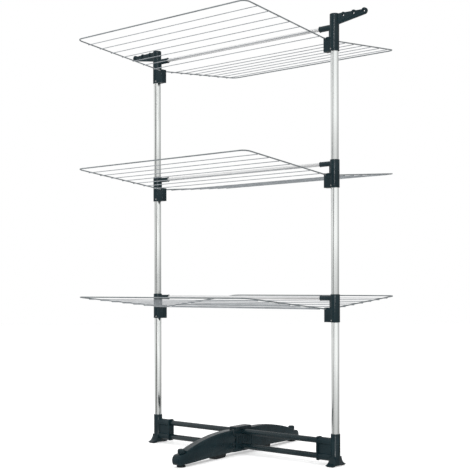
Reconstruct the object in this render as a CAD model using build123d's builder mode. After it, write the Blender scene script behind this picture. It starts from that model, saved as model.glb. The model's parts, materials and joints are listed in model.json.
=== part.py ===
"""Tower clothes drying rack with three levels of fold-up wire wings.

Millimetres, +Z up. The origin is on the floor, midway between the two posts. X runs along the line of the
posts (left is -X, right is +X) and Y runs across it (front is -Y, rear is +Y).
"""

from build123d import *
import os
from math import cos, radians, sin, tan

# ------------------------------------------------------------------ driving dimensions
overall_height = 1700.0
post_x = 465.0               # post axis, either side of the middle
post_radius = 15.0
post_wall = 1.5
sleeve_radius = 18.0
sleeve_fit = 0.05            # gap between a tube and the plastic round it

# Levels: the height of the wing pivots, and what is measured from it
low_level = 589.0
mid_level = 1096.0
top_level = 1609.0
sleeve_below = 49.0          # sleeve and block reach this far under the pivots
sleeve_above = 56.0
rim_round = 1.2
cap_rim_round = 3.0
stop_below = 5.5             # the inner stop ring starts this far over the pivots
stop_height = 4.0
stop_radius = 11.0
crossbar_above = 42.0
top_cap_roof = 12.0

# Fixing screws of the brackets
screw_turn = radians(70)     # they face the front, a little inwards
screw_drop = 42.0            # under the pivots
screw_radius = 1.6
screw_head_radius = 3.2
screw_head_height = 1.8
screw_length = 6.0

# Wings
wing_tilt = 5.5              # degrees, the open wings slope up to their outer edges
wing_length = 481.0          # pivot to outer wire
wing_half_width = 431.0      # middle to side wire
wing_corner = 25.0
frame_wire = 2.5             # radius
long_wire = 1.5              # radius
long_wire_pitch = 62.0
long_wire_count = 7
weld_depth = 0.3
pivot_y = 8.0                # pivots, either side of the line of the posts
pivot_tip_x = 444.0          # end of the bent-out wire tip
pivot_bend = 4.0
pivot_fit = 0.05

# Wing block on the inner side of each bracket
block_inner_x = 423.0
block_half_depth = 14.0
block_above = 6.0
block_chamfer = 2.0
block_corner = 2.5
slot_inner_x = 427.4
slot_outer_x = 435.4
slot_floor = 3.0             # under the pivots

# Crossbars and their sockets
crossbar_radius = 7.0
crossbar_wall = 1.0
crossbar_end_x = 438.0
socket_radius = 9.5
cap_socket_radius = 11.0     # thicker on the top caps
socket_mouth_x = 399.0
socket_floor_x = 441.0
gusset_thickness = 6.0       # web between the socket, the block and the sleeve
gusset_reach = 6.0           # past the sleeve

# Hanger arm on each top cap
arm_thickness = 9.0
arm_tip_x = 598.0            # centre of the last hole
arm_hole_pitch = 46.0
arm_hole_count = 3
arm_hole_radius = 4.5
arm_lobe_radius = 12.0
arm_root_bottom = 1658.0
arm_web_top = 1694.5
arm_root_rise = 3.5          # the web is this much higher at the post

# Base bars
bar_radius = 11.0
bar_wall = 1.2
bar_end_x = 440.0
lower_bar_z = 30.0
upper_bar_z = 89.0
between_bars = (lower_bar_z + upper_bar_z) / 2

# Foot brackets
foot_height = 120.0
foot_seat_z = 50.0           # the post stands on this
foot_half_depth = 44.0
foot_half_width = 16.0
flare_height = 36.0
flare_lip = 3.0
pad_thickness = 3.0
pad_length = 22.0
pad_inset = 2.0
pad_corner = 3.0
bar_socket_radius = 14.5
bar_socket_mouth_x = 386.0
bar_socket_floor_x = 442.0
bar_web_thickness = 14.0
bar_flange_width = 32.0
bar_flange_thickness = 6.0
bar_flange_corner = 8.0

# Hub
hub_half_width = 17.5
hub_half_depth = 46.0
hub_bottom = 12.0
hub_top = 103.0
hub_ears = [(hub_bottom, 27.5), (41.5, 48.5), (77.5, hub_top)]     # round the hinge pins, low and high
cap_height = 8.5
cap_overhang = 3.0
cap_corner = 7.0
cap_shoulder = 4.0

# Legs, measured along the leg from its hinge pin
leg_turn = 5.0               # degrees that the standing legs are turned from square
leg_length = 360.0
leg_half_width = 17.5
leg_wall = 3.5
leg_crown = 100.5            # height at the hinge pin
crown_round = 3.0
leg_sole = 14.0              # underside of the leg behind the belly pad
tip_sole = 9.5               # underside of the leg over the levelling foot
pin_radius = 4.0
pin_x = 9.5
pin_y = 56.0
knuckle_radius = 8.0
knuckle_gap = 0.5
pin_floor = 3.0
running_fit = 0.05
foot_screw_at = 327.0        # levelling foot, from the hinge pin
knob_seat_z = 50.0
knob_radius = 13.5
knob_top_z = 67.5
knob_dome = 6.0
stud_radius = 4.0

os.makedirs("parts", exist_ok=True)


def save(piece, node):
    """Name a finished piece and write it."""
    piece.part.label = node
    export_step(piece.part, f"parts/{node}.step")


def side_name(side):
    return "right" if side > 0 else "left"


def face_name(face):
    return "rear" if face > 0 else "front"


# ------------------------------------------------------------------ posts and straight tubes
def screw_plane(side, hinge_z):
    """Plane on a bracket's sleeve, its normal along the fixing screw, outwards."""
    outward = Vector(-side * cos(screw_turn), -sin(screw_turn), 0)
    centre = Vector(side * post_x, 0, hinge_z - screw_drop) + outward * sleeve_radius
    return Plane(origin=centre, x_dir=(0, 0, 1), z_dir=outward)


def post_tube(side, bottom, top, hinge_z):
    """One length of a post, with the hole for its bracket screw near the top."""
    with BuildPart() as tube:
        with BuildSketch(Plane.XY.offset(bottom)):
            with Locations((side * post_x, 0)):
                Circle(post_radius)
                Circle(post_radius - post_wall, mode=Mode.SUBTRACT)
        extrude(amount=top - bottom)
        with BuildSketch(screw_plane(side, hinge_z)):
            Circle(screw_radius)
        extrude(amount=-(sleeve_radius - post_radius + 2 * post_wall), mode=Mode.SUBTRACT)
    return tube


def level_tube(end_x, height, radius, wall):
    """A tube along X, centred between the posts."""
    with BuildPart() as tube:
        with BuildSketch(Plane.YZ.offset(-end_x)):
            with Locations((0, height)):
                Circle(radius)
                Circle(radius - wall, mode=Mode.SUBTRACT)
        extrude(amount=2 * end_x)
    return tube


# ------------------------------------------------------------------ level brackets and top caps
def bracket(side, hinge_z, is_cap):
    """Sleeve round the post with a crossbar socket and a wing block, and on a top cap the hanger arm."""
    bottom = hinge_z - sleeve_below
    top = overall_height if is_cap else hinge_z + sleeve_above
    crossbar_z = hinge_z + crossbar_above
    with BuildPart() as piece:
        # sleeve
        with BuildSketch(Plane.XY.offset(bottom)):
            with Locations((side * post_x, 0)):
                Circle(sleeve_radius)
        extrude(amount=top - bottom)
        top_edges = piece.edges().filter_by(GeomType.CIRCLE).group_by(Axis.Z)[-1]
        fillet(top_edges, radius=cap_rim_round if is_cap else rim_round)
        # wing block, which the slot and the pivot holes are cut from
        with BuildSketch(Plane.YZ.offset(side * block_inner_x)):
            with BuildLine():
                Polyline(
                    (-block_half_depth, bottom),
                    (block_half_depth, bottom),
                    (block_half_depth, hinge_z + block_above - block_chamfer),
                    (block_half_depth - block_chamfer, hinge_z + block_above),
                    (-block_half_depth + block_chamfer, hinge_z + block_above),
                    (-block_half_depth, hinge_z + block_above - block_chamfer),
                    close=True,
                )
            make_face()
        extrude(amount=side * (post_x - block_inner_x))
        inner_corners = piece.edges().filter_by(Axis.Z).filter_by(
            lambda edge: abs(side * edge.center().X - block_inner_x) < 0.1
        )
        fillet(inner_corners, radius=block_corner)
        # crossbar socket, with a gusset down to the block
        with BuildSketch(Plane.YZ.offset(side * socket_mouth_x)):
            with Locations((0, crossbar_z)):
                Circle(cap_socket_radius if is_cap else socket_radius)
        extrude(amount=side * (post_x - socket_mouth_x))
        gusset_x = post_x - sleeve_radius - gusset_reach
        with BuildSketch(Plane.XZ.offset(-gusset_thickness / 2)):
            with BuildLine():
                Polyline(
                    (side * post_x, hinge_z),
                    (side * gusset_x, hinge_z),
                    (side * gusset_x, crossbar_z + crossbar_radius),
                    (side * post_x, crossbar_z + sleeve_radius),
                    close=True,
                )
            make_face()
        extrude(amount=gusset_thickness)
        if is_cap:
            arm_root_x = post_x + post_radius
            hole_z = overall_height - arm_lobe_radius
            holes = [(side * (arm_tip_x - hole * arm_hole_pitch), hole_z) for hole in range(arm_hole_count)]
            with BuildSketch(Plane.XZ.offset(-arm_thickness / 2)):
                with BuildLine():
                    Polyline(
                        (side * arm_root_x, arm_root_bottom),
                        (side * arm_tip_x, overall_height - 2 * arm_lobe_radius),
                        (side * arm_tip_x, arm_web_top),
                        (side * arm_root_x, arm_web_top + arm_root_rise),
                        close=True,
                    )
                make_face()
                with Locations(*holes):
                    Circle(arm_lobe_radius)
                with Locations(*holes):
                    Circle(arm_hole_radius, mode=Mode.SUBTRACT)
            extrude(amount=arm_thickness)
        # socket for the crossbar
        with BuildSketch(Plane.YZ.offset(side * socket_mouth_x)):
            with Locations((0, crossbar_z)):
                Circle(crossbar_radius + sleeve_fit)
        extrude(amount=side * (socket_floor_x - socket_mouth_x), mode=Mode.SUBTRACT)
        # seat for the tube below, and on a level bracket for the tube above
        seat_top = overall_height - top_cap_roof if is_cap else hinge_z + stop_below
        with BuildSketch(Plane.XY.offset(bottom)):
            with Locations((side * post_x, 0)):
                Circle(post_radius + sleeve_fit)
        extrude(amount=seat_top - bottom, mode=Mode.SUBTRACT)
        if not is_cap:
            with BuildSketch(Plane.XY.offset(seat_top)):
                with Locations((side * post_x, 0)):
                    Circle(stop_radius)
            extrude(amount=stop_height, mode=Mode.SUBTRACT)
            with BuildSketch(Plane.XY.offset(seat_top + stop_height)):
                with Locations((side * post_x, 0)):
                    Circle(post_radius + sleeve_fit)
            extrude(amount=sleeve_above, mode=Mode.SUBTRACT)
        # slot that the wing's side wires swing in, with a floor under the open wings
        rise = (block_half_depth + 2 - pivot_y) * tan(radians(wing_tilt))
        with BuildSketch(Plane.YZ.offset(side * slot_inner_x)):
            with BuildLine():
                Polyline(
                    (-block_half_depth - 2, hinge_z - slot_floor + rise),
                    (-pivot_y, hinge_z - slot_floor),
                    (pivot_y, hinge_z - slot_floor),
                    (block_half_depth + 2, hinge_z - slot_floor + rise),
                    (block_half_depth + 2, hinge_z + block_above + 1),
                    (-block_half_depth - 2, hinge_z + block_above + 1),
                    close=True,
                )
            make_face()
        extrude(amount=side * (slot_outer_x - slot_inner_x), mode=Mode.SUBTRACT)
        # blind holes for the bent-out tips of the wings
        with BuildSketch(Plane.YZ.offset(side * slot_outer_x)):
            with Locations((-pivot_y, hinge_z), (pivot_y, hinge_z)):
                Circle(frame_wire + pivot_fit)
        extrude(amount=side * (pivot_tip_x + 1 - slot_outer_x), mode=Mode.SUBTRACT)
        # hole for the fixing screw
        with BuildSketch(screw_plane(side, hinge_z)):
            Circle(screw_radius)
        extrude(amount=-(sleeve_radius - post_radius + post_wall), mode=Mode.SUBTRACT)
    return piece


def bracket_screws():
    """Fixing screws, one for each bracket."""
    with BuildPart() as screws:
        for side in (-1, 1):
            for hinge_z in (low_level, mid_level, top_level):
                seat = screw_plane(side, hinge_z)
                with BuildSketch(seat):
                    Circle(screw_radius - sleeve_fit)
                extrude(amount=-screw_length)
                with BuildSketch(seat):
                    Circle(screw_head_radius)
                extrude(amount=screw_head_height)
    return screws


# ------------------------------------------------------------------ wings
def wing_plane(face, hinge_z):
    """Plane of an open wing: origin between its pivots, Y along the wing, Z up out of it."""
    tilt = radians(wing_tilt)
    out_of_wing = (0, -face * sin(tilt), cos(tilt))
    return Plane(origin=(0, face * pivot_y, hinge_z), x_dir=(face, 0, 0), z_dir=out_of_wing)


def wing_frame(face, hinge_z):
    """Bent wire frame with two rounded corners and a bent-out tip at each end."""
    with BuildPart() as frame:
        with BuildLine(wing_plane(face, hinge_z)) as route:
            FilletPolyline(
                (-pivot_tip_x, 0),
                (-wing_half_width, 0),
                (-wing_half_width, wing_length),
                (wing_half_width, wing_length),
                (wing_half_width, 0),
                (pivot_tip_x, 0),
                radius=[pivot_bend, wing_corner, wing_corner, pivot_bend],
            )
        with BuildSketch(Plane(origin=route.line @ 0, z_dir=route.line % 0)):
            Circle(frame_wire)
        sweep()
    return frame


def wing_wires(face, hinge_z):
    """Long wires welded under the wing frame."""
    drop = frame_wire + long_wire - weld_depth
    reach = wing_half_width + frame_wire - 0.5
    plane = wing_plane(face, hinge_z)
    with BuildPart() as wires:
        for number in range(1, long_wire_count + 1):
            start = plane.from_local_coords((-reach, wing_length - number * long_wire_pitch, -drop))
            with BuildSketch(Plane(origin=start, z_dir=plane.x_dir)):
                Circle(long_wire)
            extrude(amount=2 * reach)
    return wires


# ------------------------------------------------------------------ foot brackets
def foot_bracket(side):
    """Sleeve on a flared foot, with two bar sockets joined by a web and an end flange."""
    with BuildPart() as foot:
        with BuildSketch(Plane.XY.offset(pad_thickness)):
            with Locations((side * post_x, 0)):
                Circle(sleeve_radius)
        extrude(amount=foot_height - pad_thickness)
        fillet(foot.edges().filter_by(GeomType.CIRCLE).group_by(Axis.Z)[-1], radius=rim_round)
        # flare, concave on both sides
        waist = sleeve_radius - 1.0
        sole = pad_thickness
        lip = sole + flare_lip
        with BuildSketch(Plane.YZ.offset(side * post_x)):
            with BuildLine():
                Line((-foot_half_depth, sole), (foot_half_depth, sole))
                Line((foot_half_depth, sole), (foot_half_depth, lip))
                ThreePointArc((foot_half_depth, lip), (waist + 8, lip + 10), (waist, flare_height))
                Line((waist, flare_height), (-waist, flare_height))
                ThreePointArc((-waist, flare_height), (-waist - 8, lip + 10), (-foot_half_depth, lip))
                Line((-foot_half_depth, lip), (-foot_half_depth, sole))
            make_face()
        extrude(amount=foot_half_width, both=True)
        # bar sockets, web and end flange
        with BuildSketch(Plane.YZ.offset(side * bar_socket_mouth_x)):
            with Locations((0, lower_bar_z), (0, upper_bar_z)):
                Circle(bar_socket_radius)
            with Locations((0, between_bars)):
                Rectangle(bar_web_thickness, upper_bar_z - lower_bar_z)
        extrude(amount=side * (post_x - bar_socket_mouth_x))
        flange_height = upper_bar_z - lower_bar_z + bar_flange_width
        with BuildSketch(Plane.YZ.offset(side * bar_socket_mouth_x)):
            with Locations((0, between_bars)):
                RectangleRounded(bar_flange_width, flange_height, bar_flange_corner)
        extrude(amount=side * bar_flange_thickness)
        with BuildSketch(Plane.YZ.offset(side * bar_socket_mouth_x)):
            with Locations((0, lower_bar_z), (0, upper_bar_z)):
                Circle(bar_radius + sleeve_fit)
        extrude(amount=side * (bar_socket_floor_x - bar_socket_mouth_x), mode=Mode.SUBTRACT)
        with BuildSketch(Plane.XY.offset(foot_seat_z)):
            with Locations((side * post_x, 0)):
                Circle(post_radius + sleeve_fit)
        extrude(amount=foot_height, mode=Mode.SUBTRACT)
    return foot


def foot_pads(side):
    """Two non-slip pads under a foot."""
    pad_y = foot_half_depth - pad_inset - pad_length / 2
    with BuildPart() as pads:
        with BuildSketch():
            with Locations((side * post_x, -pad_y), (side * post_x, pad_y)):
                RectangleRounded(2 * (foot_half_width - pad_inset), pad_length, pad_corner)
        extrude(amount=pad_thickness)
    return pads


# ------------------------------------------------------------------ hub
rib_pitch = 13.0
rib_thickness = 2.5
rib_height = 30.0
pockets_each_half = 3
clamp_screw_radius = 2.0
clamp_head_radius = 3.8
clamp_head_fit = 0.3
clamp_head_height = 3.0
clamp_head_depth = 6.0
clamp_screw_reach = 25.0     # past the parting face, into the other half
clamp_screw_x = 9.0
clamp_screw_rows = [between_bars - 11.0, between_bars + 11.0]


def clamp_screw_places(face):
    """X and Z of the two clamp screws that go in from one end of the hub."""
    return [(face * clamp_screw_x, height) for height in clamp_screw_rows]


def hub_half(face):
    """Half of the hub, clamped on the bars, with three ears for a leg's pin. The halves are alike."""
    pin = (-face * pin_x, face * pin_y)
    with BuildPart() as hub:
        with BuildSketch(Plane.XY.offset(hub_bottom)):
            with Locations((0, face * hub_half_depth / 2)):
                Rectangle(2 * hub_half_width, hub_half_depth)
        extrude(amount=hub_top - hub_bottom)
        for low, high in hub_ears:
            with BuildSketch(Plane.XY.offset(low)):
                with Locations(pin):
                    Circle(knuckle_radius)
                with Locations((-face * pin_x, face * (hub_half_depth + pin_y) / 2)):
                    Rectangle(2 * knuckle_radius, pin_y - hub_half_depth)
            extrude(amount=high - low)
        with BuildSketch(Plane.XY.offset(hub_bottom + pin_floor)):
            with Locations(pin):
                Circle(pin_radius)
        extrude(amount=hub_top, mode=Mode.SUBTRACT)
        # pockets between the bars on both flanks, parted by upright ribs
        for flank in (-1, 1):
            with BuildSketch(Plane.YZ.offset(flank * hub_half_width)):
                for number in range(pockets_each_half):
                    with Locations((face * (number + 0.5) * rib_pitch, between_bars)):
                        Rectangle(rib_pitch - rib_thickness, rib_height)
            extrude(amount=-flank * rib_thickness, mode=Mode.SUBTRACT)
        # bores for the two bars
        with BuildSketch(Plane.YZ.offset(-hub_half_width - 1)):
            with Locations((0, lower_bar_z), (0, upper_bar_z)):
                Circle(bar_radius + sleeve_fit)
        extrude(amount=2 * hub_half_width + 2, mode=Mode.SUBTRACT)
        # clamp screws: two pass through this half, and two bite into it
        own_screws = clamp_screw_places(face)
        with BuildSketch(Plane.XZ.offset(-face * hub_half_depth)):
            with Locations(*own_screws):
                Circle(clamp_head_radius + clamp_head_fit)
        extrude(amount=face * clamp_head_depth, mode=Mode.SUBTRACT)
        with BuildSketch(Plane.XZ):
            with Locations(*own_screws):
                Circle(clamp_screw_radius)
        extrude(amount=-face * hub_half_depth, mode=Mode.SUBTRACT)
        with BuildSketch(Plane.XZ):
            with Locations(*clamp_screw_places(-face)):
                Circle(clamp_screw_radius)
        extrude(amount=-face * clamp_screw_reach, mode=Mode.SUBTRACT)
    return hub


def hub_cap():
    """Saddle over the top of the hub, with rounded shoulders."""
    width = 2 * (hub_half_width + cap_overhang)
    depth = 2 * (hub_half_depth + cap_overhang)
    with BuildPart() as cap:
        with BuildSketch(Plane.XY.offset(hub_top)):
            RectangleRounded(width, depth, cap_corner)
        extrude(amount=cap_height)
        fillet(cap.faces().sort_by(Axis.Z)[-1].edges(), radius=cap_shoulder)
    return cap


def clamp_screws():
    """Screws that hold the hub's halves together round the bars, two from each end."""
    with BuildPart() as screws:
        for face in (-1, 1):
            seat = Plane.XZ.offset(-face * (hub_half_depth - clamp_head_depth))
            with BuildSketch(seat):
                with Locations(*clamp_screw_places(face)):
                    Circle(clamp_head_radius)
            extrude(amount=-face * clamp_head_height)
            with BuildSketch(seat):
                with Locations(*clamp_screw_places(face)):
                    Circle(clamp_screw_radius)
            extrude(amount=face * (hub_half_depth - clamp_head_depth + clamp_screw_reach))
    return screws


def leg_pin(face):
    """Steel hinge pin between the hub and a leg."""
    with BuildPart() as pin:
        with BuildSketch(Plane.XY.offset(hub_bottom + pin_floor)):
            with Locations((-face * pin_x, face * pin_y)):
                Circle(pin_radius)
        extrude(amount=hub_top - hub_bottom - pin_floor)
    return pin


# ------------------------------------------------------------------ legs
leg_root = hub_half_depth + 1 - pin_y        # end face of the leg, from the pin
ear_clearance = 13.4                         # radius that the hub's ears need in the leg
leg_bays = [(18, 56), (60, 134), (138, 214), (218, 294)]
pad_round = 13.0                             # length of each rounded end of a belly pad
bay_mouth = 20.0                             # the bays are open at least this high, through the sole

# Knuckles on one pin, from the bottom: hub, leg, hub, leg, hub
leg_knuckles = [
    (ear[1] + knuckle_gap, next_ear[0] - knuckle_gap) for ear, next_ear in zip(hub_ears, hub_ears[1:])
]
ear_gaps = [
    (0, leg_knuckles[0][0]),
    (leg_knuckles[0][1], leg_knuckles[1][0]),
    (leg_knuckles[1][1], 2 * hub_top),
]


def leg_flank(face):
    """Upright plane through a leg's middle: X along the leg from its hinge pin, Y up."""
    turn = radians(leg_turn)
    along = Vector(-face * sin(turn), face * cos(turn), 0)
    sideways = along.cross(Vector(0, 0, 1))
    pin = Vector(-face * pin_x, face * pin_y, 0)
    return Plane(origin=pin + sideways * pin_x, x_dir=along, z_dir=sideways)


def leg_plan(face, height):
    """Level plane with its origin on a leg's hinge pin and X along the leg."""
    turn = radians(leg_turn)
    pin = (-face * pin_x, face * pin_y, height)
    return Plane(origin=pin, x_dir=(-face * sin(turn), face * cos(turn), 0), z_dir=(0, 0, 1))


def leg_outline():
    """Side view of a leg, with its hinge pin at the origin."""
    with BuildSketch() as outline:
        with BuildLine():
            crown = ThreePointArc((leg_root, leg_crown), (140, 95.0), (308, 59.0))
            Line(crown @ 1, (312, knob_seat_z))
            Line((312, knob_seat_z), (342, knob_seat_z - 2))
            nose = ThreePointArc((342, knob_seat_z - 2), (leg_length, 28.0), (351, tip_sole))
            Line(nose @ 1, (290, tip_sole))
            Line((290, tip_sole), (140, leg_sole))
            Line((140, leg_sole), (leg_root, leg_sole))
            Line((leg_root, leg_sole), (leg_root, leg_crown))
        make_face()
    return outline.sketch


def leg(face):
    """Arched leg, hollow and open underneath, hinged at one corner so that it folds beside the bars."""
    middle = leg_flank(face)
    outline = leg_outline()
    with BuildPart() as body:
        with BuildSketch(middle):
            add(outline)
        extrude(amount=leg_half_width, both=True)
        crown_edges = body.edges().filter_by(lambda edge: edge.length > 200).group_by(Axis.Z)[-1]
        fillet(crown_edges, radius=crown_round)
        # bays between the cross ribs
        for near, far in leg_bays:
            with BuildSketch(middle):
                add(outline)
                offset(amount=-leg_wall)
                with Locations(((near + far) / 2, hub_top / 2)):
                    Rectangle(far - near, 2 * hub_top, mode=Mode.INTERSECT)
            extrude(amount=leg_half_width - leg_wall, both=True, mode=Mode.SUBTRACT)
            with BuildSketch(middle):
                with Locations(((near + far) / 2, bay_mouth / 2)):
                    Rectangle(far - near, bay_mouth)
            extrude(amount=leg_half_width - leg_wall, both=True, mode=Mode.SUBTRACT)
        # the corner outside the pin makes way for round knuckles
        with BuildSketch(leg_plan(face, 0)):
            with Locations(((leg_root - 1) / 2, (knuckle_radius + 1) / 2)):
                Rectangle(1 - leg_root, knuckle_radius + 1)
        extrude(amount=2 * hub_top, mode=Mode.SUBTRACT)
        for low, high in leg_knuckles:
            with BuildSketch(leg_plan(face, low)):
                Circle(knuckle_radius)
            extrude(amount=high - low)
        for low, high in ear_gaps:
            with BuildSketch(leg_plan(face, low)):
                Circle(ear_clearance)
                with Locations((ear_clearance / 2, ear_clearance / 2)):
                    Rectangle(ear_clearance, ear_clearance)
            extrude(amount=high - low, mode=Mode.SUBTRACT)
        # bores for the hinge pin and for the stud of the levelling foot
        with BuildSketch(leg_plan(face, 0)):
            Circle(pin_radius + running_fit)
            with Locations((foot_screw_at, -pin_x)):
                Circle(stud_radius + running_fit)
        extrude(amount=2 * hub_top, mode=Mode.SUBTRACT)
    return body


def belly_pad(face):
    """Non-slip pad under the deepest part of a leg."""
    near = leg_bays[0][1] + 2
    far = leg_bays[1][1] + 2
    with BuildPart() as pad:
        with BuildSketch(leg_flank(face)):
            with BuildLine():
                Line((near, leg_sole), (far, leg_sole))
                ThreePointArc((far, leg_sole), (far - 4, 4.5), (far - pad_round, 0))
                Line((far - pad_round, 0), (near + pad_round, 0))
                ThreePointArc((near + pad_round, 0), (near + 4, 4.5), (near, leg_sole))
            make_face()
        extrude(amount=leg_half_width - 1.5, both=True)
    return pad


# ------------------------------------------------------------------ levelling feet at the leg tips
flute_count = 12
flute_radius = 1.6
stud_bottom = 4.0
stud_top = 58.0
foot_disc_radius = 17.0
foot_disc_height = 8.5


def foot_axis(face, height):
    """Level plane with its origin on the axis of a levelling foot."""
    plan = leg_plan(face, height)
    return Plane(origin=plan.from_local_coords((foot_screw_at, -pin_x, 0)), x_dir=plan.x_dir, z_dir=(0, 0, 1))


def level_knob(face):
    """Domed knob on top of the stud, fluted round its side."""
    knob_bottom = knob_seat_z + knuckle_gap
    with BuildPart() as knob:
        with BuildSketch(foot_axis(face, knob_bottom)):
            Circle(knob_radius)
        extrude(amount=knob_top_z - knob_bottom)
        fillet(knob.faces().sort_by(Axis.Z)[-1].edges(), radius=knob_dome)
        with BuildSketch(foot_axis(face, knob_bottom)):
            with PolarLocations(knob_radius + flute_radius / 2, flute_count):
                Circle(flute_radius)
        extrude(amount=knob_top_z - knob_bottom, mode=Mode.SUBTRACT)
        with BuildSketch(foot_axis(face, knob_bottom)):
            Circle(stud_radius)
        extrude(amount=stud_top - knob_bottom, mode=Mode.SUBTRACT)
    return knob


def level_stud(face):
    """Steel stud through the leg's tip."""
    with BuildPart() as stud:
        with BuildSketch(foot_axis(face, stud_bottom)):
            Circle(stud_radius)
        extrude(amount=stud_top - stud_bottom)
    return stud


def level_disc(face):
    """Foot disc on the floor, narrower towards the leg."""
    with BuildPart() as disc:
        with BuildSketch(foot_axis(face, 0)):
            Circle(foot_disc_radius)
        extrude(amount=foot_disc_height)
        chamfer(disc.edges().group_by(Axis.Z)[-1], length=4.0)
        with BuildSketch(foot_axis(face, stud_bottom)):
            Circle(stud_radius)
        extrude(amount=foot_disc_height, mode=Mode.SUBTRACT)
    return disc


# ------------------------------------------------------------------ all the pieces
levels = {"low": low_level, "mid": mid_level, "top": top_level}

for side in (-1, 1):
    end = side_name(side)
    seat = foot_seat_z
    for level, hinge_z in levels.items():
        is_cap = level == "top"
        tube_top = overall_height - top_cap_roof if is_cap else hinge_z + stop_below
        save(post_tube(side, seat, tube_top, hinge_z), f"post_{level}_{end}")
        save(bracket(side, hinge_z, is_cap), f"top_cap_{end}" if is_cap else f"bracket_{level}_{end}")
        seat = tube_top + stop_height
    save(foot_bracket(side), f"foot_bracket_{end}")
    save(foot_pads(side), f"foot_pads_{end}")
save(bracket_screws(), "bracket_screws")

for level, hinge_z in levels.items():
    crossbar = level_tube(crossbar_end_x, hinge_z + crossbar_above, crossbar_radius, crossbar_wall)
    save(crossbar, f"crossbar_{level}")
    for face in (-1, 1):
        save(wing_frame(face, hinge_z), f"wing_frame_{level}_{face_name(face)}")
        save(wing_wires(face, hinge_z), f"wing_wires_{level}_{face_name(face)}")

save(level_tube(bar_end_x, lower_bar_z, bar_radius, bar_wall), "base_bar_lower")
save(level_tube(bar_end_x, upper_bar_z, bar_radius, bar_wall), "base_bar_upper")
save(hub_cap(), "hub_cap")
save(clamp_screws(), "hub_clamp_screws")
for face in (-1, 1):
    end = face_name(face)
    save(hub_half(face), f"hub_{end}")
    save(leg_pin(face), f"{end}_leg_pin")
    save(leg(face), f"{end}_leg")
    save(belly_pad(face), f"{end}_belly_pad")
    save(level_knob(face), f"{end}_level_knob")
    save(level_stud(face), f"{end}_level_stud")
    save(level_disc(face), f"{end}_level_disc")
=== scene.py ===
"""Looks of the tower clothes drying rack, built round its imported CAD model.

Metres, in the row frame: Z up, X along the line of the posts, -Y is the front.
"""

import json
import math

import bmesh
import bpy
from mathutils import Matrix, Vector

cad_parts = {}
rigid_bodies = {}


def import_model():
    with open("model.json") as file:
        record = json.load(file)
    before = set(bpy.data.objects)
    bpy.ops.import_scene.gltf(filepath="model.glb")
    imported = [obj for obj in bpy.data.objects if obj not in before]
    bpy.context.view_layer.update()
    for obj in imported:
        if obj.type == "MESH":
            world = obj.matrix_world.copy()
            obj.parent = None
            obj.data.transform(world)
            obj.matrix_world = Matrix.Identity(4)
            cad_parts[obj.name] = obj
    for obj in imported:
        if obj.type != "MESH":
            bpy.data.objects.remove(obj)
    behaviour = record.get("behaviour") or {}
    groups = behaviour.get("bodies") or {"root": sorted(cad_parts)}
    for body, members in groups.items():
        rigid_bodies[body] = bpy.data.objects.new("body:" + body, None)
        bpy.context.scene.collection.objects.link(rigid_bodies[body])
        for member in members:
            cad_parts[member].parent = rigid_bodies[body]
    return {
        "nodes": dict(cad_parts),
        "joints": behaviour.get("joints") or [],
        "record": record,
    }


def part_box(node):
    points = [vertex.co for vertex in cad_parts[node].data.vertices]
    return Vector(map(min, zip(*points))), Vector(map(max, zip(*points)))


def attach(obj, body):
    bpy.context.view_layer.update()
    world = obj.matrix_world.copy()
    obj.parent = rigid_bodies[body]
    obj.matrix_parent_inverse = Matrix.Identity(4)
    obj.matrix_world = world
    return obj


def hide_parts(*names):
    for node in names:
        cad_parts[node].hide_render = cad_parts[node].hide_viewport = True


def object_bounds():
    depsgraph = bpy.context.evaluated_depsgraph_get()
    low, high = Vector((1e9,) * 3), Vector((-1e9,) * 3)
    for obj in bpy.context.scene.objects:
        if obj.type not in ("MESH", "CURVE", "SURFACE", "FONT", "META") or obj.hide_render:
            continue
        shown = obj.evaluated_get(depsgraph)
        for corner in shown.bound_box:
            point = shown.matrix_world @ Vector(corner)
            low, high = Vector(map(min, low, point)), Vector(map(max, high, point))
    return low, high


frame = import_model()
cad_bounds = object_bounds()

LEVELS = ("low", "mid", "top")
SIDES = {"left": -1, "right": 1}
FACES = {"front": -1, "rear": 1}
MM = 0.001


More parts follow.
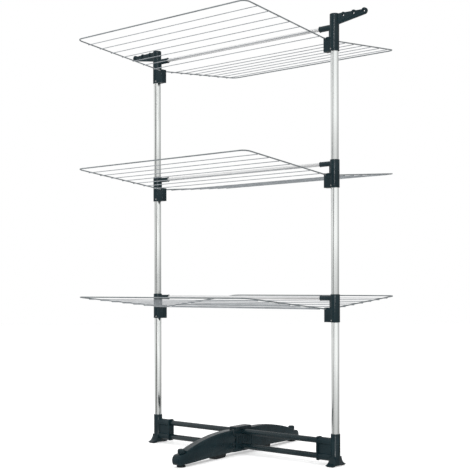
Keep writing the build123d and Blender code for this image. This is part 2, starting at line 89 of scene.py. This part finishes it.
# ------------------------------------------------------------------ shader helpers
class Shader:
    """A material under construction: short names for the nodes that the materials below share."""

    def __init__(self, name):
        self.material = bpy.data.materials.new(name)
        self.material.use_nodes = True
        self.tree = self.material.node_tree
        self.surface = self.tree.nodes["Principled BSDF"]
        self.place = self.tree.nodes.new("ShaderNodeTexCoord").outputs["Object"]

    def node(self, kind, **inputs):
        made = self.tree.nodes.new(kind)
        for socket, value in inputs.items():
            self.put(made.inputs[socket.replace("_", " ")], value)
        return made

    def put(self, socket, value):
        """Links a node's output to a socket, or sets the socket to a plain value."""
        if isinstance(value, bpy.types.NodeSocket):
            self.tree.links.new(value, socket)
        else:
            socket.default_value = value

    def stretched(self, scale):
        """Object coordinates scaled along each axis, per metre."""
        return self.node("ShaderNodeMapping", Vector=self.place, Scale=scale).outputs["Vector"]

    def noise(self, scale, detail=3.0, vector=None):
        where = self.place if vector is None else vector
        made = self.node("ShaderNodeTexNoise", Vector=where, Scale=scale, Detail=detail, Roughness=0.55)
        return made.outputs["Fac"]

    def ramp(self, value, *stops):
        """Colour ramp; each stop is (position, grey or colour)."""
        made = self.node("ShaderNodeValToRGB", Fac=value)
        band = made.color_ramp
        while len(band.elements) < len(stops):
            band.elements.new(0.5)
        for element, (position, colour) in zip(band.elements, stops):
            element.position = position
            grey = (colour,) * 3 if isinstance(colour, (int, float)) else colour
            element.color = (*grey, 1.0)
        return made.outputs["Color"]

    def math(self, operation, first, second):
        made = self.tree.nodes.new("ShaderNodeMath")
        made.operation = operation
        self.put(made.inputs[0], first)
        self.put(made.inputs[1], second)
        return made.outputs[0]

    def mix(self, share, first, second):
        """Colour that goes from the first to the second as share goes from 0 to 1."""
        made = self.tree.nodes.new("ShaderNodeMix")
        made.data_type = "RGBA"
        self.put(made.inputs["Factor"], share)
        for socket, value in (("A", first), ("B", second)):
            found = [s for s in made.inputs if s.name == socket and s.type == "RGBA"][0]
            self.put(found, value if isinstance(value, bpy.types.NodeSocket) else (*value, 1.0))
        return [s for s in made.outputs if s.type == "RGBA"][0]

    def edges(self, radius):
        """1 along edges sharper than the radius, 0 on open faces."""
        rounded = self.tree.nodes.new("ShaderNodeBevel")
        rounded.samples = 4
        rounded.inputs["Radius"].default_value = radius
        flat = self.tree.nodes.new("ShaderNodeNewGeometry").outputs["Normal"]
        cosine = self.tree.nodes.new("ShaderNodeVectorMath")
        cosine.operation = "DOT_PRODUCT"
        self.put(cosine.inputs[0], rounded.outputs["Normal"])
        self.put(cosine.inputs[1], flat)
        return self.ramp(cosine.outputs["Value"], (0.80, 1.0), (0.995, 0.0))

    def bump(self, height, distance, strength, normal=None):
        """Bumps of the height value, on top of an earlier bump's normal if one is given."""
        made = self.node("ShaderNodeBump", Height=height, Distance=distance, Strength=strength)
        if normal is not None:
            self.put(made.inputs["Normal"], normal)
        return made.outputs["Normal"]

    def finish(self, **sockets):
        """Fills in the surface's sockets, named with underscores, and returns the material."""
        for socket, value in sockets.items():
            self.put(self.surface.inputs[socket.replace("_", " ")], value)
        return self.material


def moulded_plastic(name, dark, light, rough):
    """Blue-black moulded plastic: fine pitted texture, slightly cloudy colour and rubbed edges."""
    s = Shader(name)
    cloud = s.noise(14.0, 4.0)
    colour = s.mix(s.ramp(cloud, (0.35, 0.0), (0.65, 1.0)), dark, light)
    worn = s.math("MULTIPLY", s.edges(0.0012), s.ramp(s.noise(60.0, 4.0), (0.40, 0.1), (0.62, 1.0)))
    colour = s.mix(s.math("MULTIPLY", worn, 0.55), colour, [channel * 4.0 for channel in light])
    pits = s.noise(1500.0, 2.0)
    waves = s.noise(90.0, 2.0)
    smear = s.ramp(s.noise(22.0, 5.0), (0.3, rough - 0.06), (0.7, rough + 0.08))
    normal = s.bump(pits, 0.00005, 0.4, s.bump(waves, 0.0003, 0.15))
    return s.finish(Base_Color=colour, Roughness=smear, Normal=normal, Specular_IOR_Level=0.24)


def drawn_aluminium(name, along, bright, rough, metallic=1.0):
    """Bright drawn tube: fine draw lines, faint scratches and cloudy anodising. Less metallic is whiter."""
    s = Shader(name)
    lines = s.noise(1.0, 3.0, vector=s.stretched([2.0 if axis == along else 900.0 for axis in "XYZ"]))
    cloud = s.noise(7.0, 3.0)
    colour = s.mix(s.ramp(lines, (0.35, 0.0), (0.65, 1.0)), [channel * 0.93 for channel in bright], bright)
    colour = s.mix(s.ramp(cloud, (0.45, 0.0), (0.75, 0.30)), colour, [channel * 0.90 for channel in bright])
    blotches = s.noise(1.0, 4.0, vector=s.stretched([60.0 if axis == along else 16.0 for axis in "XYZ"]))
    scuffs = s.ramp(blotches, (0.62, 0.0), (0.72, 1.0))
    polish = s.math("ADD", s.math("MULTIPLY", lines, 0.05), s.math("MULTIPLY", scuffs, 0.06))
    return s.finish(
        Base_Color=colour,
        Metallic=metallic,
        Roughness=s.math("ADD", polish, rough),
        Normal=s.bump(lines, 0.00002, 0.12),
    )


def coated_metal(name, dark, light, rough, coat):
    """Enamelled wire or bar: slight orange peel, clouded colour and small dark specks."""
    s = Shader(name)
    cloud = s.noise(30.0, 4.0)
    colour = s.mix(s.ramp(cloud, (0.35, 0.0), (0.65, 1.0)), dark, light)
    specks = s.ramp(s.noise(420.0, 3.0), (0.66, 0.0), (0.72, 1.0))
    colour = s.mix(s.math("MULTIPLY", specks, 0.35), colour, [channel * 0.6 for channel in dark])
    peel = s.noise(700.0, 2.0)
    smear = s.ramp(s.noise(45.0, 4.0), (0.3, rough - 0.06), (0.7, rough + 0.08))
    normal = s.bump(peel, 0.00004, 0.4, s.bump(cloud, 0.0002, 0.15))
    return s.finish(Base_Color=colour, Roughness=smear, Normal=normal, Coat_Weight=coat, Coat_Roughness=0.12)


def soft_rubber(name):
    """Matt black rubber with a dusty bloom."""
    s = Shader(name)
    dust = s.ramp(s.noise(50.0, 5.0), (0.4, 0.0), (0.75, 0.6))
    colour = s.mix(dust, (0.008, 0.010, 0.011), (0.026, 0.028, 0.029))
    grain = s.noise(900.0, 3.0)
    return s.finish(
        Base_Color=colour,
        Roughness=s.ramp(dust, (0.0, 0.70), (0.6, 0.92)),
        Normal=s.bump(grain, 0.0001, 0.6),
        Specular_IOR_Level=0.25,
    )


def plated_steel(name):
    """Zinc-plated steel of screws, studs and pins, with turned rings and light tarnish."""
    s = Shader(name)
    rings = s.noise(1.0, 2.0, vector=s.stretched((900.0, 900.0, 4000.0)))
    tarnish = s.ramp(s.noise(120.0, 4.0), (0.45, 0.0), (0.7, 0.7))
    colour = s.mix(tarnish, (0.50, 0.51, 0.52), (0.30, 0.29, 0.26))
    return s.finish(
        Base_Color=colour,
        Metallic=1.0,
        Roughness=s.ramp(tarnish, (0.0, 0.26), (0.7, 0.46)),
        Normal=s.bump(rings, 0.00005, 0.3),
    )


POST_METAL = drawn_aluminium("post_aluminium", "Z", (0.90, 0.925, 0.91), 0.12)
CROSSBAR_METAL = drawn_aluminium("crossbar_aluminium", "X", (0.94, 0.945, 0.95), 0.30, metallic=0.8)
BLACK_PLASTIC = moulded_plastic("black_plastic", (0.0032, 0.0108, 0.0142), (0.0058, 0.0165, 0.0208), 0.25)
BAR_PAINT = coated_metal("bar_paint", (0.0034, 0.0105, 0.0132), (0.0060, 0.0155, 0.0190), 0.25, 0.05)
FRAME_WIRE_COAT = coated_metal("frame_wire_coat", (0.120, 0.135, 0.142), (0.180, 0.200, 0.208), 0.30, 0.25)
LONG_WIRE_COAT = coated_metal("long_wire_coat", (0.185, 0.200, 0.214), (0.255, 0.275, 0.290), 0.30, 0.25)
RUBBER = soft_rubber("rubber")
STEEL = plated_steel("plated_steel")
SLOT_MATERIALS = {
    "aluminium": POST_METAL,
    "crossbar_metal": CROSSBAR_METAL,
    "black_bar": BAR_PAINT,
    "black_plastic": BLACK_PLASTIC,
    "frame_wire": FRAME_WIRE_COAT,
    "long_wire": LONG_WIRE_COAT,
    "rubber": RUBBER,
    "steel": STEEL,
}


# ------------------------------------------------------------------ mesh helpers
SHARP_ANGLE = math.radians(35)      # edges sharper than this stay sharp in the shading
BEVEL_ANGLE = math.radians(30)      # edges sharper than this are rounded
FLAT_ANGLE = math.radians(0.5)      # faces that meet at less than this become one
WELD_DISTANCE = 1e-6
BEND_STEPS = 10
BEAD_SIDES = 8
END_RINGS = (0.45, 0.80, 0.96)      # rings across the dished end of a wire, as shares of its radius
END_DISH = 0.6                      # depth of that dish, as a share of a round end's


def smooth(mesh):
    """Smooth shading, with sharp edges kept."""
    for polygon in mesh.polygons:
        polygon.use_smooth = True
    mesh.set_sharp_from_angle(angle=SHARP_ANGLE)


def new_piece(name, bm, material, body, replaces=()):
    """Turns a bmesh into a named piece that rides on a body and may stand in for CAD nodes."""
    bmesh.ops.remove_doubles(bm, verts=bm.verts, dist=WELD_DISTANCE)
    bmesh.ops.recalc_face_normals(bm, faces=bm.faces)
    mesh = bpy.data.meshes.new(name)
    bm.to_mesh(mesh)
    bm.free()
    smooth(mesh)
    mesh.materials.append(material)
    piece = bpy.data.objects.new(name, mesh)
    bpy.context.scene.collection.objects.link(piece)
    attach(piece, body)
    if replaces:
        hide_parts(*replaces)


def softened(obj, width):
    """Rounds a piece's sharp edges, as moulded and stamped pieces have them."""
    weld = obj.modifiers.new("weld", "WELD")
    weld.merge_threshold = WELD_DISTANCE
    plain = obj.modifiers.new("plain_faces", "DECIMATE")
    plain.decimate_type = "DISSOLVE"
    plain.angle_limit = FLAT_ANGLE
    bevel = obj.modifiers.new("soft_edges", "BEVEL")
    bevel.width = width
    bevel.segments = 2
    bevel.limit_method = "ANGLE"
    bevel.angle_limit = BEVEL_ANGLE
    bevel.harden_normals = True


def ring(centre, across, up, radius, sides):
    """Points of a circle about centre, in the plane of two unit vectors."""
    turns = [2 * math.pi * k / sides for k in range(sides)]
    return [centre + radius * (math.cos(a) * across + math.sin(a) * up) for a in turns]


def skin(bm, rings, closed_ends=True):
    """Joins rings of points one after another, and closes the first and the last."""
    loops = [[bm.verts.new(point) for point in points] for points in rings]
    for first, second in zip(loops, loops[1:]):
        for k in range(len(first)):
            n = (k + 1) % len(first)
            bm.faces.new((first[k], first[n], second[n], second[k]))
    if closed_ends:
        bm.faces.new(list(reversed(loops[0])))
        bm.faces.new(loops[-1])


def lathe(bm, centre, axis, profile, sides):
    """Turns a profile of (radius, height) about an axis."""
    axis = Vector(axis).normalized()
    across = axis.orthogonal().normalized()
    up = axis.cross(across)
    rings = [ring(Vector(centre) + axis * height, across, up, radius, sides) for radius, height in profile]
    skin(bm, rings)


def hoop(bm, centre, axis, radius, thickness, sides=48):
    """A round bead that runs round an axis."""
    axis = Vector(axis).normalized()
    across = axis.orthogonal().normalized()
    up = axis.cross(across)
    rings = []
    for k in range(sides + 1):
        a = 2 * math.pi * (k % sides) / sides
        outward = math.cos(a) * across + math.sin(a) * up
        rings.append(ring(Vector(centre) + radius * outward, outward, axis, thickness / 2, BEAD_SIDES))
    skin(bm, rings, closed_ends=False)


def dished_end(end, inward, across, up, radius, sides):
    """Rings across a wire's cut end, from the middle out. The end is a very shallow dish."""
    rings = []
    for share in END_RINGS:
        depth = END_DISH * radius * (1 - math.sqrt(1 - (1 - share) ** 2))
        rings.append(ring(end + inward * depth, across, up, radius * share, sides))
    return rings


def swept(bm, points, radius, flat_normal, sides):
    """A round wire along a planar path."""
    rings = []
    last = len(points) - 1
    for i, point in enumerate(points):
        before = points[max(i - 1, 0)]
        after = points[min(i + 1, last)]
        along = (after - before).normalized()
        across = flat_normal.cross(along).normalized()
        if i == 0:
            rings += dished_end(point, along, across, flat_normal, radius, sides)
        elif i == last:
            rings += reversed(dished_end(point, -along, across, flat_normal, radius, sides))
        else:
            # the ring is stretched in a bend, so that the wire keeps its thickness
            turn = (point - before).angle(after - point)
            wide = across / max(0.5, math.cos(turn / 2))
            rings.append(ring(point, wide, flat_normal, radius, sides))
    skin(bm, rings)


def rounded_path(corners, radii):
    """Points along straight runs joined by tangent arcs of the given radii, one for each inner corner."""
    points = [corners[0]]
    for before, corner, after, radius in zip(corners, corners[1:], corners[2:], radii):
        towards, away = (before - corner).normalized(), (after - corner).normalized()
        half = towards.angle(away) / 2
        cut = radius / math.tan(half)
        centre = corner + (towards + away).normalized() * (radius / math.sin(half))
        start, end = corner + towards * cut - centre, corner + away * cut - centre
        turn = start.angle(end)
        for k in range(BEND_STEPS + 1):
            share = k / BEND_STEPS
            mixed = start * math.sin((1 - share) * turn) + end * math.sin(share * turn)
            points.append(centre + mixed / math.sin(turn))
    points.append(corners[-1])
    return points


# ------------------------------------------------------------------ wings
CORNER_RADIUS = 25 * MM
TIP_BEND = 4 * MM
LONG_WIRE_PITCH = 62 * MM
LONG_WIRE_RADIUS = 1.5 * MM
WIRE_OVERHANG = 0.5 * MM        # the long wires stop this far inside the frame's outer side
WELD_DEPTH = 0.3 * MM
LONG_WIRE_COUNT = 7
NUGGET_ACROSS = 2.6 * MM        # half sizes of a bead of weld
NUGGET_ALONG = 2.3 * MM
NUGGET_THICK = 1.1 * MM
NUGGET_SINK = 0.1 * MM          # its middle is this far inside the frame wire
WIRE_END = 2 * MM


class Wing:
    """Where one wing lies, read from its CAD nodes and its hinge."""

    def __init__(self, level, face):
        self.name = f"wing_{level}_{face}"
        self.frame_node = f"wing_frame_{level}_{face}"
        self.wires_node = f"wing_wires_{level}_{face}"
        way = FACES[face]
        joint = [j for j in frame["joints"] if j["child"] == self.name][0]
        self.pivot = Vector(joint["pos_m"])
        low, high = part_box(self.frame_node)
        self.radius = self.pivot.z - low.z
        self.tip_x = high.x
        outer_y = max(abs(low.y), abs(high.y)) - self.radius
        rise = high.z - self.radius - self.pivot.z
        run = outer_y - abs(self.pivot.y)
        self.length = math.hypot(run, rise)
        self.along = Vector((0, way * run, rise)) / self.length
        self.normal = Vector((0, -way * rise, run)) / self.length
        wires_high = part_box(self.wires_node)[1]
        self.half_width = wires_high.x - self.radius + WIRE_OVERHANG

    def at(self, x, along, lift=0.0):
        return Vector((x, self.pivot.y, self.pivot.z)) + self.along * along + self.normal * lift


def wing_frame(wing):
    """The bent frame wire."""
    side, tip = wing.half_width, wing.tip_x
    corners = [
        wing.at(-tip, 0),
        wing.at(-side, 0),
        wing.at(-side, wing.length),
        wing.at(side, wing.length),
        wing.at(side, 0),
        wing.at(tip, 0),
    ]
    path = rounded_path(corners, [TIP_BEND, CORNER_RADIUS, CORNER_RADIUS, TIP_BEND])
    bm = bmesh.new()
    swept(bm, path, wing.radius, wing.normal, sides=24)
    new_piece(f"{wing.name}_frame", bm, FRAME_WIRE_COAT, wing.name, [wing.frame_node])


def weld_nugget(bm, centre, across, along, normal):
    """A small flattened bead of weld, coated over."""
    made = bmesh.ops.create_icosphere(bm, subdivisions=2, radius=1.0)
    axes = Matrix((across * NUGGET_ACROSS, along * NUGGET_ALONG, normal * NUGGET_THICK)).transposed()
    for vert in made["verts"]:
        vert.co = centre + axes @ vert.co


def wing_wires(wing):
    """The long wires, each welded to the frame at both ends."""
    drop = wing.radius + LONG_WIRE_RADIUS - WELD_DEPTH
    reach = wing.half_width + wing.radius - WIRE_OVERHANG
    across = Vector((1, 0, 0))
    bm = bmesh.new()
    for number in range(1, LONG_WIRE_COUNT + 1):
        place = wing.length - number * LONG_WIRE_PITCH
        stations = (-reach, WIRE_END - reach, 0, reach - WIRE_END, reach)
        points = [wing.at(x, place, -drop) for x in stations]
        swept(bm, points, LONG_WIRE_RADIUS, wing.normal, sides=16)
        for x in (-wing.half_width, wing.half_width):
            seat = wing.at(x, place, NUGGET_SINK - wing.radius)
            weld_nugget(bm, seat, across, wing.along, wing.normal)
    new_piece(f"{wing.name}_wires", bm, LONG_WIRE_COAT, wing.name, [wing.wires_node])


for level in LEVELS:
    for face in FACES:
        wing = Wing(level, face)
        wing_frame(wing)
        wing_wires(wing)


# ------------------------------------------------------------------ screws
# Shares of a screw head's radius: the rings of its dome, and the cross recess's half width and reach
DOME_STEPS = (1.0, 0.93, 0.82, 0.70, 0.58, 0.46, 0.34, 0.22, 0.10)
CROSS_ARM = 0.17
CROSS_REACH = 0.62

SHANK_POINT = 0.5 * MM


def cross_head_screw(bm, seat, outward, head_radius, head_height, shank_radius, shank_length):
    """A pan-head screw. Its seat is the middle of the head's underside, and outward points to the head."""
    outward = Vector(outward).normalized()
    profile = [
        (shank_radius * 0.7, -shank_length),
        (shank_radius, SHANK_POINT - shank_length),
        (shank_radius, 0.0),
        (head_radius, 0.0),
    ]
    for share in DOME_STEPS:
        profile.append((head_radius * share, head_height * (0.4 + 0.6 * math.sqrt(1 - share * share))))
    known = set(bm.verts)
    lathe(bm, seat, outward, profile, sides=40)
    across = outward.orthogonal().normalized()
    up = outward.cross(across)
    for vert in set(bm.verts) - known:
        place = vert.co - Vector(seat)
        u, v, height = place.dot(across), place.dot(up), place.dot(outward)
        in_arm = min(abs(u), abs(v)) < CROSS_ARM * head_radius
        if height > 0.5 * head_height and in_arm and math.hypot(u, v) < CROSS_REACH * head_radius:
            vert.co -= outward * 0.5 * head_height


SLEEVE_RADIUS = 18 * MM
SCREW_TURN = math.radians(70)
SCREW_ABOVE_RIM = 7 * MM
SMALL_SCREW = {
    "head_radius": 3.2 * MM,
    "head_height": 1.8 * MM,
    "shank_radius": 1.5 * MM,
    "shank_length": 6 * MM,
}
CLAMP_SCREW = {
    "head_radius": 3.8 * MM,
    "head_height": 3.0 * MM,
    "shank_radius": 2.0 * MM,
    "shank_length": 60 * MM,
}
BRACKETS = [(f"top_cap_{side}" if level == "top" else f"bracket_{level}_{side}", f"post_{level}_{side}", side)
            for side in SIDES for level in LEVELS]


def post_axis(post):
    low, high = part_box(post)
    return (low.x + high.x) / 2, (low.y + high.y) / 2


def bracket_screws():
    """The fixing screws of the brackets, which face the front and a little inwards."""
    bm = bmesh.new()
    for bracket, post, side in BRACKETS:
        x, y = post_axis(post)
        outward = Vector((-SIDES[side] * math.cos(SCREW_TURN), -math.sin(SCREW_TURN), 0))
        seat = Vector((x, y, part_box(bracket)[0].z + SCREW_ABOVE_RIM)) + outward * SLEEVE_RADIUS
        cross_head_screw(bm, seat, outward, **SMALL_SCREW)
    new_piece("bracket_screws_cross_head", bm, STEEL, "frame", ["bracket_screws"])


def hub_screws():
    """The clamp screws of the hub, sunk in their pockets, two from the front and two from the rear."""
    low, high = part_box("hub_clamp_screws")
    head_radius, head_height = CLAMP_SCREW["head_radius"], CLAMP_SCREW["head_height"]
    bm = bmesh.new()
    for way in FACES.values():
        for z in (low.z + head_radius, high.z - head_radius):
            seat = Vector((way * (high.x - head_radius), way * (high.y - head_height), z))
            cross_head_screw(bm, seat, (0, way, 0), **CLAMP_SCREW)
    new_piece("hub_clamp_screws_cross_head", bm, STEEL, "frame", ["hub_clamp_screws"])


bracket_screws()
hub_screws()


# ------------------------------------------------------------------ beads moulded on the plastic
BEAD = 1.6 * MM                 # thickness of the beads on sleeves and sockets
SLEEVE_BEAD_UP = 1.2 * MM       # over a bracket's lower rim
FOOT_BEAD_DOWN = 3.0 * MM       # under a foot sleeve's top
SOCKET_BEAD_IN = 1.0 * MM       # behind a socket's mouth
SOCKET_RADIUS = 9.5 * MM
CAP_SOCKET_RADIUS = 11.0 * MM
HOLE_BEAD = 1.4 * MM


def moulded_beads():
    """Beads round the open rims of the sleeves, the crossbar sockets and the hanger holes."""
    bm = bmesh.new()
    for bracket, post, side in BRACKETS:
        x, y = post_axis(post)
        low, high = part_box(bracket)
        hoop(bm, (x, y, low.z + SLEEVE_BEAD_UP), (0, 0, 1), SLEEVE_RADIUS, BEAD)
        bar_low, bar_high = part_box(post.replace("post", "crossbar").rsplit("_", 1)[0])
        mouth = low.x if SIDES[side] > 0 else high.x
        centre = (mouth + SOCKET_BEAD_IN * SIDES[side], y, (bar_low.z + bar_high.z) / 2)
        hoop(bm, centre, (1, 0, 0), CAP_SOCKET_RADIUS if "cap" in bracket else SOCKET_RADIUS, BEAD)
    for side in SIDES:
        x, y = post_axis(f"post_low_{side}")
        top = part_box(f"foot_bracket_{side}")[1].z
        hoop(bm, (x, y, top - FOOT_BEAD_DOWN), (0, 0, 1), SLEEVE_RADIUS, BEAD)
    for mount in frame["record"]["mounts"]:
        if mount["kind"] != "bore":
            continue
        hole_radius, half_depth = mount["dims"]["r_mm"] * MM, mount["dims"]["length_mm"] / 2 * MM
        for way in FACES.values():
            centre = Vector(mount["pos_m"]) + Vector((0, way * half_depth, 0))
            hoop(bm, centre, (0, 1, 0), hole_radius + HOLE_BEAD, HOLE_BEAD, sides=32)
    new_piece("moulded_beads", bm, BLACK_PLASTIC, "frame")


# Legs, and the rims that follow their crown lines
LEG_TURN = math.radians(5)
LEG_PIN_OFFSET = 9.5 * MM
LEG_HALF_WIDTH = 17.5 * MM
CROWN_POINTS = [(-9, 100.5), (140, 95.0), (308, 59.0)]     # along the leg from its pin, and up, in mm
RIM_BELOW_CROWN = 5.5 * MM
RIM_RADIUS = 0.9 * MM
RIM_START, RIM_SPAN = 0.06, 0.90    # shares of the crown's arc
RIM_STEPS = 28


def circle_through(first, second, third):
    """Centre and radius of the circle through three points of a plane."""
    (ax, ay), (bx, by), (cx, cy) = first, second, third
    d = 2 * (ax * (by - cy) + bx * (cy - ay) + cx * (ay - by))
    a2, b2, c2 = ax * ax + ay * ay, bx * bx + by * by, cx * cx + cy * cy
    x = (a2 * (by - cy) + b2 * (cy - ay) + c2 * (ay - by)) / d
    y = (a2 * (cx - bx) + b2 * (ax - cx) + c2 * (bx - ax)) / d
    return x, y, math.hypot(ax - x, ay - y)


def leg_rims(face):
    """A moulded rim under the crown line, on both flanks of a leg."""
    way = FACES[face]
    joint = [j for j in frame["joints"] if j["name"] == f"{face}_leg_swing"][0]
    pin = Vector((joint["pos_m"][0], joint["pos_m"][1], 0))
    along = Vector((-way * math.sin(LEG_TURN), way * math.cos(LEG_TURN), 0))
    sideways = along.cross(Vector((0, 0, 1)))
    middle = pin + sideways * LEG_PIN_OFFSET
    x0, y0, radius = circle_through(*[(u * MM, v * MM) for u, v in CROWN_POINTS])
    radius -= RIM_BELOW_CROWN
    first, last = [math.atan2(v * MM - y0, u * MM - x0) for u, v in (CROWN_POINTS[0], CROWN_POINTS[-1])]
    bm = bmesh.new()
    for flank in (-1, 1):
        points = []
        for k in range(RIM_STEPS + 1):
            a = first + (last - first) * (RIM_START + RIM_SPAN * k / RIM_STEPS)
            height = y0 + radius * math.sin(a)
            reach = x0 + radius * math.cos(a)
            points.append(middle + along * reach + sideways * flank * LEG_HALF_WIDTH + Vector((0, 0, height)))
        swept(bm, points, RIM_RADIUS, sideways, sides=10)
    new_piece(f"{face}_leg_rims", bm, BLACK_PLASTIC, f"{face}_leg")


moulded_beads()
for face in FACES:
    leg_rims(face)


# ------------------------------------------------------------------ CAD nodes that show as they are
TUBE_EDGE = 0.3 * MM
EDGE_WIDTHS = {"black_plastic": 0.6 * MM, "rubber": 0.8 * MM, "steel": 0.25 * MM}
slot_of = {part["node"]: part["material_slot"] for part in frame["record"]["subparts"]}
for node, obj in frame["nodes"].items():
    if obj.hide_render:
        continue
    obj.data.materials.clear()
    obj.data.materials.append(SLOT_MATERIALS[slot_of[node]])
    for polygon in obj.data.polygons:
        polygon.material_index = 0
    softened(obj, EDGE_WIDTHS.get(slot_of[node], TUBE_EDGE))
    smooth(obj.data)


# ------------------------------------------------------------------ floor, light and camera
FLOOR_RADIUS = 14.0
FLOOR_GAP = 0.5 * MM
LAMP_LIT_RADIUS = 0.9           # the lamps light the floor most within this radius
GLOW_RADIUS = 4.0               # the floor's own glow is at its fullest from here on

# Brightness of the studio round the horizon, by angle in degrees from +X towards +Y: white cards, a narrow
# black flag in front and a little to the left, and a dim rear
STUDIO_BANDS = [
    (-180, 0.70),
    (-112, 0.80),
    (-106, 0.06),
    (-97, 0.06),
    (-91, 0.92),
    (-20, 1.00),
    (10, 0.80),
    (45, 0.50),
    (105, 0.42),
    (150, 0.70),
]

# Brightness by height, from straight down (-1) to straight up (1)
STUDIO_HEIGHTS = [(-1.0, 0.58), (-0.35, 0.60), (-0.15, 0.74), (-0.02, 0.84), (0.10, 1.0), (1.0, 0.85)]


def floor():
    """Large pale disc that the rack stands on. Polished parts mirror the studio's dim base in its place."""
    s = Shader("pale_floor")
    grain = s.noise(3.0, 4.0)
    away = s.node("ShaderNodeVectorMath", Vector=s.place)
    away.operation = "LENGTH"
    spread = s.math("MULTIPLY", away.outputs["Value"], 1 / GLOW_RADIUS)
    glow = s.ramp(spread, (LAMP_LIT_RADIUS / GLOW_RADIUS, 0.34), (0.5, 0.30), (1.0, 0.42))
    s.finish(
        Base_Color=s.mix(grain, (0.86, 0.86, 0.86), (0.90, 0.90, 0.90)),
        Roughness=0.9,
        Specular_IOR_Level=0.1,
        Emission_Color=(1.0, 1.0, 1.0, 1.0),
        Emission_Strength=glow,
    )
    bm = bmesh.new()
    bmesh.ops.create_circle(bm, cap_ends=True, segments=96, radius=FLOOR_RADIUS)
    mesh = bpy.data.meshes.new("floor")
    bm.to_mesh(mesh)
    bm.free()
    mesh.materials.append(s.material)
    ground = bpy.data.objects.new("floor", mesh)
    ground.location.z = cad_bounds[0].z - FLOOR_GAP
    ground.visible_glossy = False
    bpy.context.scene.collection.objects.link(ground)


def studio_world():
    """Soft white studio: plain white behind the rack, with cards and a dim base for what it reflects."""
    world = bpy.data.worlds.new("studio")
    world.use_nodes = True
    tree = world.node_tree
    tree.nodes.clear()
    link = tree.links.new

    def node(kind, **settings):
        made = tree.nodes.new(kind)
        for key, value in settings.items():
            setattr(made, key, value)
        return made

    def graded(value, lowest, highest, stops):
        """Grey from the stops, which are given in the value's own units."""
        share = node("ShaderNodeMapRange")
        share.inputs["From Min"].default_value = lowest
        share.inputs["From Max"].default_value = highest
        link(value, share.inputs["Value"])
        made = node("ShaderNodeValToRGB")
        link(share.outputs["Result"], made.inputs["Fac"])
        band = made.color_ramp
        while len(band.elements) < len(stops):
            band.elements.new(0.5)
        for element, (place, grey) in zip(band.elements, stops):
            element.position = (place - lowest) / (highest - lowest)
            element.color = (grey, grey, grey, 1.0)
        return made.outputs["Color"]

    ray = node("ShaderNodeSeparateXYZ")
    link(node("ShaderNodeTexCoord").outputs["Generated"], ray.inputs[0])
    turn = node("ShaderNodeMath", operation="ARCTAN2")
    link(ray.outputs["Y"], turn.inputs[0])
    link(ray.outputs["X"], turn.inputs[1])
    degrees = node("ShaderNodeMath", operation="DEGREES")
    link(turn.outputs[0], degrees.inputs[0])
    cards = node("ShaderNodeMath", operation="MULTIPLY")
    link(graded(degrees.outputs[0], -180, 180, STUDIO_BANDS), cards.inputs[0])
    link(graded(ray.outputs["Z"], -1, 1, STUDIO_HEIGHTS), cards.inputs[1])
    lit, plain = node("ShaderNodeBackground"), node("ShaderNodeBackground")
    link(cards.outputs[0], lit.inputs["Color"])
    lit.inputs["Strength"].default_value = 1.1
    plain.inputs["Color"].default_value = (1.0, 1.0, 1.0, 1.0)
    either = node("ShaderNodeMixShader")
    link(node("ShaderNodeLightPath").outputs["Is Camera Ray"], either.inputs["Fac"])
    link(lit.outputs[0], either.inputs[1])
    link(plain.outputs[0], either.inputs[2])
    link(either.outputs[0], node("ShaderNodeOutputWorld").inputs["Surface"])
    bpy.context.scene.world = world


def area_light(name, place, aim, size, power, mirrored=False):
    """Soft light. Only a mirrored one shows as a highlight."""
    data = bpy.data.lights.new(name, "AREA")
    data.shape = "RECTANGLE"
    data.size, data.size_y = size
    data.energy = power
    light = bpy.data.objects.new(name, data)
    light.location = place
    light.rotation_euler = (Vector(aim) - Vector(place)).to_track_quat("-Z", "Y").to_euler()
    light.visible_camera = False
    light.visible_glossy = mirrored
    bpy.context.scene.collection.objects.link(light)
    return light


def camera():
    """Level camera, off the front right-hand corner and a little above the low wings."""
    azimuth, roll = math.radians(39.95), math.radians(-0.157)
    distance, height, off_axis = 4.0767, 0.677, 0.0202
    back = Vector((math.sin(azimuth), -math.cos(azimuth), 0))
    right = Vector((math.cos(azimuth), math.sin(azimuth), 0))
    data = bpy.data.cameras.new("camera")
    data.lens = 76.94
    data.sensor_width = 36.0
    data.shift_y = 0.1087
    data.clip_start, data.clip_end = 0.05, 100.0
    view = bpy.data.objects.new("camera", data)
    view.location = back * distance - right * off_axis + Vector((0, 0, height))
    facing = (-back).to_track_quat("-Z", "Y")
    view.rotation_mode = "QUATERNION"
    view.rotation_quaternion = facing @ Matrix.Rotation(roll, 4, "Z").to_quaternion()
    bpy.context.scene.collection.objects.link(view)
    bpy.context.scene.camera = view


middle = (cad_bounds[0] + cad_bounds[1]) / 2
floor()
studio_world()
area_light("key", (-0.6, -3.2, 3.0), middle, (1.6, 1.6), 60)
area_light("top", (0.2, 0.6, 4.2), middle, (2.4, 2.4), 60)
strip = area_light("strip", (2.47, -3.52, 1.2), (0.0, 0.0, 1.0), (0.24, 3.6), 75, mirrored=True)
black_parts = bpy.data.collections.new("black_parts")
for piece in bpy.context.scene.objects:
    if piece.type == "MESH" and piece.material_slots[0].material in (BLACK_PLASTIC, BAR_PAINT, RUBBER):
        black_parts.objects.link(piece)
strip.light_linking.receiver_collection = black_parts
camera()
bpy.context.scene.view_settings.view_transform = "Standard"
